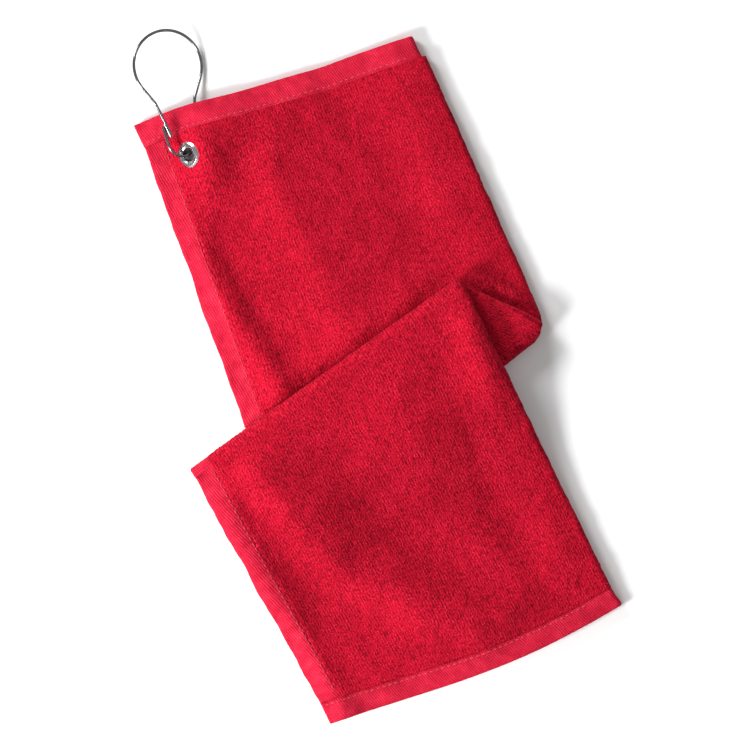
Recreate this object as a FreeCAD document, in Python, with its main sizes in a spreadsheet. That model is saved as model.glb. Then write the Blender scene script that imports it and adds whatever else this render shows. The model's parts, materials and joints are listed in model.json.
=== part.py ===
"""Golf towel: a terry strip folded once lengthwise and twice across, with a corner grommet and a wire hook.

Frame: the towel lies flat, +Z up, +Y towards the hook end, origin under the middle of the whole.
Each panel has a frame of its own: x runs across the strip along the panel's starting line, y up the page.
The three panels are stacked: upper panel on the floor, middle panel on it, lower panel on top of both.
"""

import FreeCAD, Part
import math
import os

import Sketcher

from FreeCAD import Placement, Rotation, Vector

SIZES = {
    # cloth
    "layer": 3.0,  # one layer of terry, pile included
    "panel_gap": 0.3,  # air between two panels
    "hem_thin": 0.3,  # the turned hem lies this far under the pile on each face
    "hem_wide": 12.5,  # top and bottom hem
    "side_wide": 12.0,  # side hem
    "back_wide": 108.0,  # how far the layer turned under reaches in from the folded edge
    "edge_round": 2.9,
    # upper panel: its corner, its turn about Z, and its outline from there
    "upper_x": -132.6,
    "upper_y": 137.9,
    "upper_turn": 18.25,
    "upper_top": 160.6,
    "upper_left_x": 6.4,
    "upper_left_y": -234.8,
    "upper_right_x": 180.1,
    "upper_right_y": -172.15,
    "pile_step": 2.2,  # the pile stands this far out past the hem at the folded edge
    # middle panel
    "middle_x": -53.0,
    "middle_y": -83.1,
    "middle_turn": 38.08,
    "middle_width": 184.6,
    "middle_left_x": -19.7,
    "middle_left_y": 50.5,
    "middle_right_x": 162.1,
    "middle_right_y": 42.2,
    # lower panel
    "lower_x": -99.7,
    "lower_y": -55.5,
    "lower_turn": 35.46,
    "lower_width": 181.8,
    "lower_left_x": -18.5,
    "lower_left_y": -154.0,
    "lower_right_x": 143.5,
    "lower_right_y": -194.1,
    "lower_back_x": 150.3,
    "lower_back_y": -192.4,
    "ramp_start": -60.0,
    "ramp_end": -112.0,
    "drape_left": -60.0,  # the drape is made wider and longer than the panel, then cut to its outline
    "drape_wide": 300.0,
    "drape_end": -230.0,
    "trim_up": 40.0,
    # liftable corner
    "crease_reach": 80.0,  # along both edges from the towel's corner
    "crease_gap": 0.3,
    "corner_low": 5.8,
    "corner_high": 7.6,
    # grommet
    "grommet_x": 23.3,
    "grommet_y": -24.0,
    "grommet_up": 7.2,
    "grommet_tilt": 38.0,
    "grommet_radius": 7.2,
    "washer_radius": 6.9,
    "bore_radius": 3.75,
    "barrel_wall": 0.35,
    "grip": 2.2,  # cloth squeezed between flange and washer
    "cloth_ring": 9.4,
    # hook
    "hook_x": -106.2,
    "hook_y": 121.6,
    "hook_up": 7.46,
    "hook_lean": 10.2,
    "hook_roll": 21.0,
    "hook_pitch": 0.74,
    "wire": 1.7,
    "bulb_radius": 19.6,
    "bulb_up": 50.4,
    "foot_radius": 7.6,
    "kink_right_x": 12.0,
    "kink_right_y": 30.8,
    "kink_left_x": -11.0,
    "kink_left_y": 31.0,
    "tip_x": -5.2,
    "tip_y": 12.1,
    "catch_x": -9.1,
    "catch_y": 17.6,
    "kink_round": 5.0,
    "crown_gap": 0.4,
    "catch_long": 8.0,
    "catch_inner": 1.1,
    "catch_outer": 1.55,
    # sewing thread
    "stitch_long": 2.6,
    "stitch_pitch": 3.4,
    "stitch_wide": 0.5,
    "stitch_high": 0.3,
}

doc = FreeCAD.newDocument("golf_towel")
sheet = doc.addObject("Spreadsheet::Sheet", "Sizes")
for row, (alias, value) in enumerate(SIZES.items(), start=1):
    sheet.set(f"A{row}", str(value))
    sheet.setAlias(f"A{row}", alias)
doc.recompute()

PARTS = []


def number(expression):
    """The value of an expression on the sheet."""
    return float(sheet.evalExpression(expression))


def bound(expression):
    """The expression with each alias led by the sheet's name."""
    words = []
    for word in expression.replace("(", "( ").replace(")", " )").split():
        words.append("Sizes." + word if word in SIZES else word)
    return " ".join(words)


def panel_place(panel, up=0.0):
    """A panel's frame in the towel's frame."""
    spot = Vector(number(panel + "_x"), number(panel + "_y"), up)
    return Placement(spot, Rotation(Vector(0, 0, 1), number(panel + "_turn")))


def start_body(label, place):
    body = doc.addObject("PartDesign::Body", label)
    body.Label = label
    body.Placement = place
    PARTS.append(body)
    return body


def origin_plane(body, role):
    return next(o for o in body.Origin.OriginFeatures if o.Role == role)


def blank_sketch(body, name, role="XY_Plane", offset="0"):
    """An empty sketch on one of the body's own planes, moved along that plane's normal."""
    sketch = body.newObject("Sketcher::SketchObject", name)
    sketch.AttachmentSupport = [(origin_plane(body, role), "")]
    sketch.MapMode = "FlatFace"
    sketch.AttachmentOffset = Placement(Vector(0, 0, number(offset)), Rotation())
    if offset != "0":
        sketch.setExpression("AttachmentOffset.Base.z", bound(offset))
    return sketch


def add_outline(sketch, corners):
    """A closed outline through corners, each a pair of expressions on the sheet, held by its corners."""
    spots = [Vector(number(x), number(y), 0) for x, y in corners]
    first = sketch.GeometryCount
    count = len(corners)
    for i in range(count):
        sketch.addGeometry(Part.LineSegment(spots[i], spots[(i + 1) % count]), False)
    for i in range(count):
        after = first + (i + 1) % count
        sketch.addConstraint(Sketcher.Constraint("Coincident", first + i, 2, after, 1))
    for i, (x, y) in enumerate(corners):
        for kind, expression in (("DistanceX", x), ("DistanceY", y)):
            value = number(expression)
            place = sketch.addConstraint(Sketcher.Constraint(kind, -1, 1, first + i, 1, value))
            sketch.setExpression(f"Constraints[{place}]", bound(expression))


def pad(body, name, corners, low, high):
    """A slab between two heights."""
    sketch = blank_sketch(body, name + "_outline", offset=low)
    add_outline(sketch, corners)
    slab = body.newObject("PartDesign::Pad", name)
    slab.Profile = sketch
    slab.setExpression("Length", bound(f"( {high} ) - ( {low} )"))
    doc.recompute()
    return slab


def along(start, end, share):
    """The point at a share of the way from start to end, as a pair of expressions."""
    return tuple(f"( {s} ) + ( ( {e} ) - ( {s} ) ) * ( {share} )" for s, e in zip(start, end))


def shifted(point, right="0", up="0"):
    return f"( {point[0]} ) + ( {right} )", f"( {point[1]} ) + ( {up} )"


def edges_where(shape, wanted):
    """Names of the edges whose middle point and direction pass a test."""
    names = []
    for i, edge in enumerate(shape.Edges, start=1):
        middle = edge.valueAt((edge.FirstParameter + edge.LastParameter) / 2)
        run = edge.tangentAt((edge.FirstParameter + edge.LastParameter) / 2)
        if wanted(middle, run):
            names.append(f"Edge{i}")
    return names


def round_edges(body, base, wanted, radius):
    """Fillets the edges that pass the test. The test reads points in the body's own frame."""
    names = edges_where(base.Shape, wanted)
    fillet = body.newObject("PartDesign::Fillet", base.Name + "_rounded")
    fillet.Base = (base, names)
    fillet.setExpression("Radius", bound(radius))
    doc.recompute()
    return fillet


# Upper panel ---------------------------------------------------------------------------------

TOP_LEFT = ("0", "0")
TOP_RIGHT = ("upper_top", "0")
FOLD_LEFT = ("upper_left_x", "upper_left_y")
FOLD_RIGHT = ("upper_right_x", "upper_right_y")
HEM_SHARE_LEFT = "hem_wide / - upper_left_y"
HEM_SHARE_RIGHT = "hem_wide / - upper_right_y"
HEM_END = shifted(along(TOP_RIGHT, FOLD_RIGHT, HEM_SHARE_RIGHT))
PILE_END = shifted(HEM_END, right="pile_step")
SIDE_SHARE = "side_wide / ( upper_right_x - upper_left_x )"
SIDE_END = along(FOLD_LEFT, FOLD_RIGHT, SIDE_SHARE)
BACK_SHARE = "1 - back_wide / ( upper_right_x - upper_left_x )"
BACK_END = along(FOLD_LEFT, FOLD_RIGHT, BACK_SHARE)
BACK_HEM_END = shifted(BACK_END, right="side_wide", up="side_wide * 0.361")
CREASE = "crease_reach + crease_gap"
HEM_LOW = "hem_thin"
HEM_TOP = "2 * layer - hem_thin"


def make_upper_cloth():
    """Pile cloth of the upper panel: the whole front layer, and the layer turned under on its right."""
    body = start_body("upper_cloth", panel_place("upper"))
    front = [
        (f"{CREASE} - hem_wide", "0 - hem_wide"),
        PILE_END,
        FOLD_RIGHT,
        SIDE_END,
        ("side_wide + 1.9", f"side_wide + 1.9 - ( {CREASE} )"),
    ]
    pad(body, "front", front, "layer", "2 * layer")
    back = [
        ("upper_top - back_wide + side_wide", "0 - hem_wide"),
        PILE_END,
        FOLD_RIGHT,
        BACK_HEM_END,
    ]
    slab = pad(body, "back", back, "0", "layer")
    far = number("upper_top")
    round_edges(body, slab, lambda p, run: p.x > far - 2 and abs(run.y) > 0.9, "edge_round")


def make_top_hem():
    """The turned hem across the top, on both layers, flatter than the pile."""
    body = start_body("top_hem", panel_place("upper"))
    front = [(CREASE, "0"), TOP_RIGHT, HEM_END, (f"{CREASE} - hem_wide", "0 - hem_wide")]
    pad(body, "front", front, "layer", HEM_TOP)
    back = [
        ("upper_top - back_wide", "0"),
        TOP_RIGHT,
        HEM_END,
        ("upper_top - back_wide", "0 - hem_wide"),
    ]
    slab = pad(body, "back", back, HEM_LOW, "layer")
    far = number("upper_top")
    round_edges(body, slab, lambda p, run: p.x > far - 1 and abs(run.y) > 0.9, "layer - 2 * hem_thin")


def make_upper_side_hem():
    """The side hem on the open, left edge of the front layer, below the liftable corner."""
    body = start_body("upper_side_hem", panel_place("upper"))
    corners = [
        ("2.2", f"2.2 - ( {CREASE} )"),
        ("side_wide + 1.9", f"side_wide + 1.9 - ( {CREASE} )"),
        SIDE_END,
        FOLD_LEFT,
    ]
    pad(body, "band", corners, "layer + hem_thin", HEM_TOP)


def make_upper_back_hem():
    """The side hem of the layer turned under."""
    body = start_body("upper_back_hem", panel_place("upper"))
    corners = [
        ("upper_top - back_wide", "0 - hem_wide"),
        ("upper_top - back_wide + side_wide", "0 - hem_wide"),
        BACK_HEM_END,
        BACK_END,
    ]
    pad(body, "band", corners, HEM_LOW, "layer - hem_thin")


# Fold turns ----------------------------------------------------------------------------------


def half_roll(label, place, left, right, lead):
    """The cloth's half turn round a fold line: two layers deep, as a half disc swept along the line."""
    body = start_body(label, place)
    sketch = blank_sketch(body, "section", role="YZ_Plane", offset=left)
    radius = number("2 * layer + panel_gap / 2")
    slit = number("panel_gap / 2")
    low, high = math.radians(90 * lead), math.radians(90 * lead + 180)
    for size in (radius, slit):
        centre = Vector(0, 0, 0)
        arc = Part.ArcOfCircle(Part.Circle(centre, Vector(0, 0, 1), size), low, high)
        sketch.addGeometry(arc, False)
    for side in (1, -1):
        line = Part.LineSegment(Vector(0, side * slit, 0), Vector(0, side * radius, 0))
        sketch.addGeometry(line, False)
    roll = body.newObject("PartDesign::Pad", "roll")
    roll.Profile = sketch
    roll.setExpression("Length", bound(f"( {right} ) - ( {left} )"))
    doc.recompute()


FOLD_ONE_UP = "2 * layer + panel_gap / 2"
FOLD_TWO_UP = "4 * layer + 3 * panel_gap / 2"


def make_fold_turns():
    one = panel_place("middle", number(FOLD_ONE_UP))
    half_roll("fold_one_turn", one, "0", "middle_width", 1)
    two = panel_place("lower", number(FOLD_TWO_UP))
    half_roll("fold_two_turn", two, "0", "lower_width", -1)


# Middle panel --------------------------------------------------------------------------------

MIDDLE_LOW = "2 * layer + panel_gap"
M_LEFT = ("0", "0")
M_RIGHT = ("middle_width", "0")
M_FAR_LEFT = ("middle_left_x", "middle_left_y")
M_FAR_RIGHT = ("middle_right_x", "middle_right_y")


def make_middle_panel():
    """The middle panel lies face down, so its narrow turned-under layer is the upper one."""
    side = "side_wide / middle_width"
    far_side = along(M_FAR_LEFT, M_FAR_RIGHT, side)
    near_side = along(M_LEFT, M_RIGHT, side)
    back_share = "1 - back_wide / middle_width"
    back_near = along(M_LEFT, M_RIGHT, back_share)
    back_far = along(M_FAR_LEFT, M_FAR_RIGHT, back_share)
    hem_near = shifted(back_near, right="side_wide")
    hem_far = along(M_FAR_LEFT, M_FAR_RIGHT, back_share + " + " + side)

    body = start_body("middle_cloth", panel_place("middle"))
    pad(body, "face", [near_side, M_RIGHT, M_FAR_RIGHT, far_side], MIDDLE_LOW, MIDDLE_LOW + " + layer")
    top = MIDDLE_LOW + " + layer", MIDDLE_LOW + " + 2 * layer"
    slab = pad(body, "back", [hem_near, M_RIGHT, M_FAR_RIGHT, hem_far], *top)
    reach = number("middle_right_x")
    test = lambda p, run: p.x > reach and abs(run.y) > 0.6 and abs(run.x) > 0.1
    round_edges(body, slab, test, "edge_round")

    body = start_body("middle_side_hem", panel_place("middle"))
    thin = MIDDLE_LOW + " + hem_thin", MIDDLE_LOW + " + layer - hem_thin"
    pad(body, "band", [M_LEFT, near_side, far_side, M_FAR_LEFT], *thin)

    body = start_body("middle_back_hem", panel_place("middle"))
    thin = MIDDLE_LOW + " + layer + hem_thin", MIDDLE_LOW + " + 2 * layer - hem_thin"
    pad(body, "band", [back_near, hem_near, hem_far, back_far], *thin)


# Lower panel ---------------------------------------------------------------------------------

LOWER_LOW = "4 * layer + 2 * panel_gap"
L_LEFT = ("0", "0")
L_RIGHT = ("lower_width", "0")
L_END_LEFT = ("lower_left_x", "lower_left_y")
L_END_RIGHT = ("lower_right_x", "lower_right_y")
L_BACK_RIGHT = ("lower_back_x", "lower_back_y")


def draped_slab(label, corners, low, high):
    """A slab that leaves the stack level, slopes down and ends flat on the floor, cut to an outline.

    low and high are heights over the panel's own underside."""
    body = start_body(label, panel_place("lower"))
    profile = blank_sketch(body, "drape", role="YZ_Plane", offset="drape_left")
    up = f"( {LOWER_LOW} )"
    add_outline(
        profile,
        [
            ("0", f"{up} + {low}"),
            ("0", f"{up} + {high}"),
            ("ramp_start", f"{up} + {high}"),
            ("ramp_end", high),
            ("drape_end", high),
            ("drape_end", low),
            ("ramp_end", low),
            ("ramp_start", f"{up} + {low}"),
        ],
    )
    slab = body.newObject("PartDesign::Pad", "slab")
    slab.Profile = profile
    slab.setExpression("Length", bound("drape_wide"))
    doc.recompute()
    trim = blank_sketch(body, "trim", offset="trim_up")
    left, right = "drape_left - 10", "drape_left + drape_wide + 10"
    add_outline(trim, [(left, "drape_end - 10"), (right, "drape_end - 10"), (right, "10"), (left, "10")])
    add_outline(trim, corners)
    pocket = body.newObject("PartDesign::Pocket", "trimmed")
    pocket.Profile = trim
    pocket.Type = "ThroughAll"
    doc.recompute()
    assert pocket.Shape.Volume < 0.95 * slab.Shape.Volume, label
    return body, pocket


HEM_SHARE_L = "hem_wide / - lower_left_y"
HEM_SHARE_R = "hem_wide / - lower_right_y"
L_HEM_LEFT = along(L_END_LEFT, L_LEFT, HEM_SHARE_L)
L_HEM_RIGHT = along(L_END_RIGHT, L_RIGHT, HEM_SHARE_R)
L_SIDE_SHARE = "side_wide / lower_width"


def make_lower_panel():
    """The lower panel lies face up over the fold and its hem end rests on the floor."""
    side_top = along(L_LEFT, L_RIGHT, L_SIDE_SHARE)
    side_end = along(L_HEM_LEFT, L_HEM_RIGHT, L_SIDE_SHARE)
    back_share = "1 - back_wide / lower_width"
    back_top = along(L_LEFT, L_RIGHT, back_share)
    back_end = along(L_HEM_LEFT, L_HEM_RIGHT, back_share)
    back_foot = along(L_END_LEFT, L_END_RIGHT, back_share)
    hem_top = shifted(back_top, right="side_wide")
    hem_end = along(L_HEM_LEFT, L_HEM_RIGHT, back_share + " + " + L_SIDE_SHARE)

    draped_slab("lower_cloth", [side_top, L_RIGHT, L_HEM_RIGHT, side_end], "layer", "2 * layer")
    draped_slab("lower_under_cloth", [hem_top, L_RIGHT, L_HEM_RIGHT, hem_end], "0", "layer")
    thin = "layer + hem_thin", "2 * layer - hem_thin"
    draped_slab("lower_side_hem", [L_LEFT, side_top, side_end, L_HEM_LEFT], *thin)
    thin = "hem_thin", "layer - hem_thin"
    draped_slab("lower_back_hem", [back_top, hem_top, hem_end, back_end], *thin)

    body = start_body("bottom_hem", panel_place("lower"))
    front = [L_HEM_LEFT, L_HEM_RIGHT, L_END_RIGHT, L_END_LEFT]
    pad(body, "front", front, "layer", "2 * layer - hem_thin")
    back = [back_end, L_HEM_RIGHT, L_BACK_RIGHT, L_END_RIGHT, back_foot]
    pad(body, "back", back, "0", "layer")


# Liftable corner and grommet -----------------------------------------------------------------


def grommet_place():
    """The grommet's frame: its axis is tilted towards the open edge of the panel."""
    spot = Vector(number("grommet_x"), number("grommet_y"), number("grommet_up"))
    tilted = Placement(spot, Rotation(Vector(0, 1, 0), -number("grommet_tilt")))
    return panel_place("upper") * tilted


def make_corner_cloth():
    """The corner that carries the grommet, with a round window that leaves room for the tilted cloth."""
    body = start_body("corner_cloth", panel_place("upper"))
    corners = [TOP_LEFT, ("crease_reach", "0"), ("2.2", "2.2 - crease_reach")]
    plate = pad(body, "plate", corners, "corner_low", "corner_high")
    tip = round_edges(body, plate, lambda p, run: abs(run.z) > 0.9 and p.Length < 12, "edge_round")
    window = blank_sketch(body, "window", offset="corner_high")
    centre = Vector(number("grommet_x"), number("grommet_y"), 0)
    window.addGeometry(Part.Circle(centre, Vector(0, 0, 1), number("cloth_ring + 1")), False)
    hole = body.newObject("PartDesign::Pocket", "hole")
    hole.Profile = window
    hole.Type = "ThroughAll"
    doc.recompute()
    assert hole.Shape.Volume < tip.Shape.Volume - 100


def revolved(label, corners):
    """A ring: an outline in the XZ plane turned a full round about the grommet's axis."""
    body = start_body(label, grommet_place())
    sketch = blank_sketch(body, "section", role="XZ_Plane")
    add_outline(sketch, corners)
    ring = body.newObject("PartDesign::Revolution", "ring")
    ring.Profile = sketch
    ring.ReferenceAxis = (sketch, ["V_Axis"])
    ring.Angle = 360
    doc.recompute()
    return body, ring


def make_grommet():
    """Two-part grommet: a flanged barrel from the face and a washer that its far end is rolled over."""
    half = "grip / 2"
    outer = "bore_radius + barrel_wall"
    revolved(
        "eyelet_cloth",
        [
            (outer + " + 0.1", "0 - " + half),
            ("cloth_ring", "0 - " + half),
            ("cloth_ring", half),
            (outer + " + 0.1", half),
        ],
    )
    body, ring = revolved(
        "grommet_eyelet",
        [
            ("bore_radius", "0 - ( grip / 2 + 1.3 )"),
            (outer, "0 - ( grip / 2 + 1.3 )"),
            (outer, half),
            ("grommet_radius", half),
            ("grommet_radius", half + " + 0.5"),
            ("grommet_radius - 1.1", half + " + 1.1"),
            (outer + " + 0.8", half + " + 1.1"),
            ("bore_radius", half + " + 0.6"),
        ],
    )
    round_edges(body, ring, lambda p, run: p.z > number(half + " + 0.45"), "barrel_wall * 0.6")
    revolved(
        "grommet_washer",
        [
            (outer, "0 - ( grip / 2 + 1 )"),
            ("washer_radius - 1", "0 - ( grip / 2 + 1 )"),
            ("washer_radius", "0 - ( grip / 2 + 0.5 )"),
            ("washer_radius", "0 - " + half),
            (outer, "0 - " + half),
        ],
    )


# Hook ----------------------------------------------------------------------------------------


def hook_place():
    """The hook's frame: origin at the middle of its foot, y towards the bulb, rolled about y."""
    spot = Vector(number("hook_x"), number("hook_y"), number("hook_up"))
    lean = Rotation(Vector(0, 0, 1), number("hook_lean"))
    roll = Rotation(Vector(0, 1, 0), number("hook_roll"))
    pitch = Rotation(Vector(1, 0, 0), number("hook_pitch"))
    return Placement(spot, lean * pitch * roll)


def tangent_point(centre, radius, outside, side):
    """Where a line from an outside point touches a circle, on the left (1) or right (-1) of that line."""
    gap = outside - centre
    turn = side * math.acos(radius / gap.Length)
    heading = math.atan2(gap.y, gap.x) + turn
    return centre + Vector(radius * math.cos(heading), radius * math.sin(heading), 0)


def arc_edge(centre, radius, start, end):
    """An arc, anticlockwise, between two angles in degrees."""
    circle = Part.Circle(centre, Vector(0, 0, 1), radius)
    return Part.ArcOfCircle(circle, math.radians(start), math.radians(end)).toShape()


def angle_at(centre, point):
    return math.degrees(math.atan2(point.y - centre.y, point.x - centre.x))


def bend(before, corner, after, radius):
    """The two points where an arc of this radius touches the lines that meet at a corner, and the arc."""
    back = (before - corner).normalize()
    ahead = (after - corner).normalize()
    half = math.acos(back.dot(ahead)) / 2
    run = radius / math.tan(half)
    middle = corner + (back + ahead).normalize() * (radius / math.sin(half) - radius)
    start, end = corner + back * run, corner + ahead * run
    return start, Part.Arc(start, middle, end).toShape(), end


def line(start, end):
    return Part.LineSegment(start, end).toShape()


def wire_pipe(label, edges):
    """A round wire swept along tangent edges."""
    spine = Part.Wire(Part.__sortEdges__(edges))
    edge = spine.OrderedEdges[0]
    start = spine.OrderedVertexes[0].Point
    at_first = edge.valueAt(edge.FirstParameter)
    end_value = edge.FirstParameter if at_first.distanceToPoint(start) < 0.01 else edge.LastParameter
    ring = Part.Wire(Part.Circle(start, edge.tangentAt(end_value), number("wire / 2")).toShape())
    solid = spine.makePipeShell([ring], True, True)
    wanted = math.pi * number("wire / 2") ** 2 * spine.Length
    if abs(solid.Volume - wanted) > 0.02 * wanted:
        raise RuntimeError(f"{label}: {solid.Volume} instead of {wanted}")
    return solid


def make_hook():
    """Pear-shaped wire hook: foot, right leg, bulb and, as its own piece, the spring arm."""
    bulb = Vector(0, number("bulb_up"), 0)
    bulb_radius = number("bulb_radius")
    foot = Vector(0, number("foot_radius"), 0)
    foot_radius = number("foot_radius")
    kink_right = Vector(number("kink_right_x"), number("kink_right_y"), 0)
    kink_left = Vector(number("kink_left_x"), number("kink_left_y"), 0)
    tip = Vector(number("tip_x"), number("tip_y"), 0)
    catch = Vector(number("catch_x"), number("catch_y"), 0)
    half_gap = math.degrees(number("crown_gap / 2") / bulb_radius)

    flare_right = tangent_point(bulb, bulb_radius, kink_right, 1)
    leg_right = tangent_point(foot, foot_radius, kink_right, -1)
    bend_in, bend_arc, bend_out = bend(flare_right, kink_right, leg_right, number("kink_round"))
    leg_left = tangent_point(foot, foot_radius, catch, 1)
    fixed = [
        arc_edge(bulb, bulb_radius, angle_at(bulb, flare_right), 90 - half_gap),
        line(flare_right, bend_in),
        bend_arc,
        line(bend_out, leg_right),
        arc_edge(foot, foot_radius, angle_at(foot, leg_left) - 360, angle_at(foot, leg_right)),
        line(leg_left, catch),
    ]
    run = (tip - kink_left).normalize()
    solid = wire_pipe("hook_wire", fixed)
    solid = solid.fuse(catch_trough(tip, run))
    add_plain("hook_wire", solid.removeSplitter())

    flare_left = tangent_point(bulb, bulb_radius, kink_left, -1)
    bend_in, bend_arc, bend_out = bend(flare_left, kink_left, tip, number("kink_round"))
    arm = [
        arc_edge(bulb, bulb_radius, 90 + half_gap, angle_at(bulb, flare_left) + 360),
        line(flare_left, bend_in),
        bend_arc,
        line(bend_out, tip),
    ]
    add_plain("hook_spring_arm", wire_pipe("hook_spring_arm", arm))


def catch_trough(tip, run):
    """The half tube at the end of the foot wire that the arm's tip rests in, open on the inner side."""
    start = tip - run * number("catch_long - 0.6")
    outer = Part.makeCylinder(number("catch_outer"), number("catch_long"), start, run)
    inner = Part.makeCylinder(number("catch_inner"), number("catch_long"), start, run)
    inward = Vector(-run.y, run.x, 0)
    reach = number("2 * catch_outer")
    block = Part.makeBox(reach, 2 * reach, number("catch_long"))
    block.Placement = Placement(start, Rotation(inward, Vector(0, 0, 1), run, "ZXY"))
    corner = block.BoundBox.Center - (start + run * number("catch_long / 2") + inward * reach / 2)
    block.translate(corner * -1)
    return outer.cut(inner).cut(block)


def add_plain(label, shape):
    """A sub-part whose shape is swept here, placed in the hook's frame."""
    feature = doc.addObject("Part::Feature", label)
    feature.Label = label
    feature.Shape = shape
    feature.Placement = hook_place()
    PARTS.append(feature)


# Sewing thread -------------------------------------------------------------------------------


def stitch_row(label, place, length, height):
    """A straight row of stitches that stands just proud of the hem it holds down."""
    body = start_body(label, place)
    body.AllowCompound = True
    corners = [
        ("0", "0 - stitch_wide / 2"),
        ("stitch_long", "0 - stitch_wide / 2"),
        ("stitch_long", "stitch_wide / 2"),
        ("0", "stitch_wide / 2"),
    ]
    stitch = pad(body, "stitch", corners, height, height + " + stitch_high")
    row = body.newObject("PartDesign::LinearPattern", "row")
    row.Originals = [stitch]
    row.Direction = (stitch.Profile[0], ["H_Axis"])
    count = int(length / number("stitch_pitch"))
    row.Length = (count - 1) * number("stitch_pitch")
    row.Occurrences = count
    body.Tip = row
    doc.recompute()


def row_place(panel, start, end):
    """A frame whose x runs along a row of stitches, from start to end in the panel's frame."""
    first = Vector(number(start[0]), number(start[1]), 0)
    last = Vector(number(end[0]), number(end[1]), 0)
    heading = math.degrees(math.atan2(last.y - first.y, last.x - first.x))
    local = Placement(first, Rotation(Vector(0, 0, 1), heading))
    return panel_place(panel) * local, (last - first).Length


def make_threads():
    inset = "1.6"
    place, run = row_place(
        "upper",
        (f"{CREASE} - hem_wide + 2", f"{inset} - hem_wide"),
        shifted(HEM_END, right="0 - 3", up=inset),
    )
    stitch_row("top_hem_thread", place, run, HEM_TOP)
    place, run = row_place(
        "upper",
        (f"side_wide + 1.9 - {inset}", f"side_wide - 1 - ( {CREASE} )"),
        shifted(SIDE_END, right="0 - " + inset, up="1"),
    )
    stitch_row("upper_side_thread", place, run, HEM_TOP)
    place, run = row_place(
        "lower",
        shifted(L_HEM_LEFT, right="1", up="0 - " + inset),
        shifted(L_HEM_RIGHT, right="0 - 3", up="0 - " + inset),
    )
    stitch_row("bottom_hem_thread", place, run, "2 * layer - hem_thin")


make_upper_cloth()
make_top_hem()
make_upper_side_hem()
make_upper_back_hem()
make_fold_turns()
make_middle_panel()
make_lower_panel()
make_corner_cloth()
make_grommet()
make_hook()
make_threads()
doc.recompute()

for item in doc.Objects:
    faults = [state for state in item.State if state in ("Invalid", "Error")]
    if faults:
        raise RuntimeError(f"{item.Label} is {faults}")
for part in PARTS:
    if part.Shape.isNull() or not part.Shape.isValid():
        raise RuntimeError(f"{part.Label} has no valid shape")

os.makedirs("parts", exist_ok=True)
for part in PARTS:
    part.Shape.exportStep(f"parts/{part.Label}.step")
    print(part.Label, len(part.Shape.Solids), round(part.Shape.Volume, 1))
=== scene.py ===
"""Looks of a folded golf towel: terry panels, woven hems, sewing thread, grommet and wire hook.

Cloth is made panel by panel in millimetres, in the same panel frames as the part, and written in metres.
In each panel x runs across the strip from its left edge and y runs up the strip.
"""

import json
import math

import bpy
import numpy as np
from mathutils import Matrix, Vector


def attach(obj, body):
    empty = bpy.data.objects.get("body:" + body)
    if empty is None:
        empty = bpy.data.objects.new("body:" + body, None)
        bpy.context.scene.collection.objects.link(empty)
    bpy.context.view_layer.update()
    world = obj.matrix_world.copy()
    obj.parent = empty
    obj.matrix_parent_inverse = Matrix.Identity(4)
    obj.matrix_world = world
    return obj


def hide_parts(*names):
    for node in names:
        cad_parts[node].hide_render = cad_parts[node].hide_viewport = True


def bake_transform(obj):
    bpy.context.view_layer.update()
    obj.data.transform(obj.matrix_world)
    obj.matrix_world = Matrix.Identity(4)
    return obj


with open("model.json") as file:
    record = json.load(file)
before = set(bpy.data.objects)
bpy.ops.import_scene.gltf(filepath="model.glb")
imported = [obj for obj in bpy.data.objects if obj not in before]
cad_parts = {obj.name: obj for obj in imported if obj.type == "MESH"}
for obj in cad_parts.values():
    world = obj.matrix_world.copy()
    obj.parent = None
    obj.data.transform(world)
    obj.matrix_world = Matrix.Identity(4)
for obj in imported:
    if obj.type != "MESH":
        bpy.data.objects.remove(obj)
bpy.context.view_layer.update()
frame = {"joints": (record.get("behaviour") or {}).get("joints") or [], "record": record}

MM = 0.001
HALF_PLY = 1.35  # half the thickness of one layer of cloth
HEM_PLY = 0.75  # thickness of a hem's cloth, as a share of the pile's
TURN = 1.5  # radius of the lengthwise fold, to the middle of the layer
BACK = 108.0  # reach of the layer turned under
BACK_RUN = BACK - 2 * TURN
SIDE_HEM = 12.0
PILE_START = SIDE_HEM - 0.7  # the pile starts under the edge of the side band
BAND_STOP = SIDE_HEM + 0.6
SEAM = SIDE_HEM - 1.3  # the side hem's stitches, from the left edge
CELL = 1.25  # spacing of the cloth's mesh where it shows
HEM_COLUMNS, THIN_COLUMNS = 12, 8  # last columns of the layer turned under: hem material, and thinner cloth
FAR = 99.0  # further from any edge than its rounding reaches
TURN_GIRTH = 4.0  # length of weave round the lengthwise fold
WEAVE_START, FOLD_WEAVE_START = 400.0, 700.0  # where the weave of panels and of folds starts along the strip
ROUNDED, ROUND_PULL = 12.0, 1.6  # the outer corner of the first fold is rounded off by this much
LATTICE = np.random.default_rng(11).uniform(-1, 1, (512, 512))

UPPER = (-132.6, 137.9, 18.25)  # a panel's corner and its turn about Z, in degrees
MIDDLE = (-53.0, -83.1, 38.08)
LOWER = (-99.7, -55.5, 35.46)
FOLD_ONE_UP = 6.15
FOLD_TWO_UP = 12.45
FOLD_ONE_INNER, FOLD_TWO_INNER = (1.65, 1), (4.65, -1)  # radius of the front layer, and how depth changes it
FOLD_LAP = 1.0  # how far a fold's ends reach into the panels
TIP_PULL = 3.6  # how far the outer corner of the first fold is pulled in at its tip


# Small helpers -------------------------------------------------------------------------------


def smooth(low, high, value):
    """0 below low, 1 above high, and an S-curve between."""
    share = np.clip((value - low) / (high - low), 0, 1)
    return share * share * (3 - 2 * share)


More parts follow.
